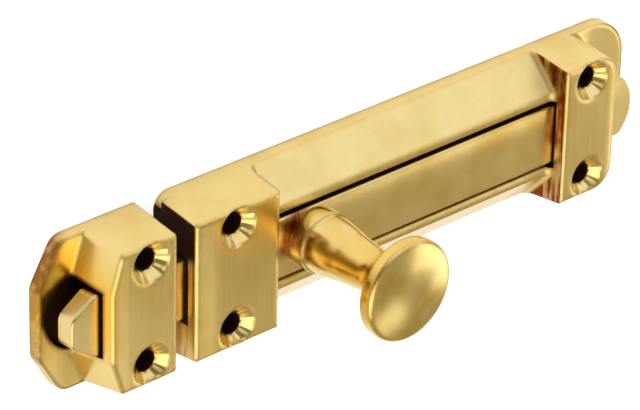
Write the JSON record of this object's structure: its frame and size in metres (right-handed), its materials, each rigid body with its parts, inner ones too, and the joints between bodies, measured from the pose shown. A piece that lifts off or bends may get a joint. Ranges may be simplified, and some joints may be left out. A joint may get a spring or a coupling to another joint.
{
  "type": "door bolt",
  "caption": "Heavy cast brass surface door bolt: a flat bar with a turned pull knob slides through two guide brackets on a back plate into a separate keep.",
  "frame": {"origin": "centre of the body's four screw holes, on the back face that lies against the door", "axes": "+X along the bar from the keep towards the bar's tail, +Y across the bar, +Z out of the door towards the hand"},
  "size_m": [0.1752, 0.038, 0.0438],
  "materials": {
    "cast_brass_body": "cast, linished and polished, clear lacquered",
    "cast_brass_keep": "cast, linished and polished, clear lacquered",
    "drawn_brass_bar": "drawn flat bar, satin linished",
    "turned_brass_knob": "turned and polished",
    "steel_stud": "turned steel, zinc plated",
    "spring_bronze": "rolled phosphor bronze strip",
    "brass_rivet": "plain, head formed by hammering"
  },
  "bodies": {
    "body": {"body_casting": "cast_brass_body", "keep_casting": "cast_brass_keep", "friction_spring": "spring_bronze", "spring_rivet": "brass_rivet"},
    "bolt": {"bolt_bar": "drawn_brass_bar", "pull_knob": "turned_brass_knob", "knob_stud": "steel_stud"}
  },
  "joints": [
    {"name": "bolt_slide", "type": "slide", "parent": "body", "child": "bolt", "axis": [1, 0, 0], "range_m": [-0.005, 0.034]}
  ]
}
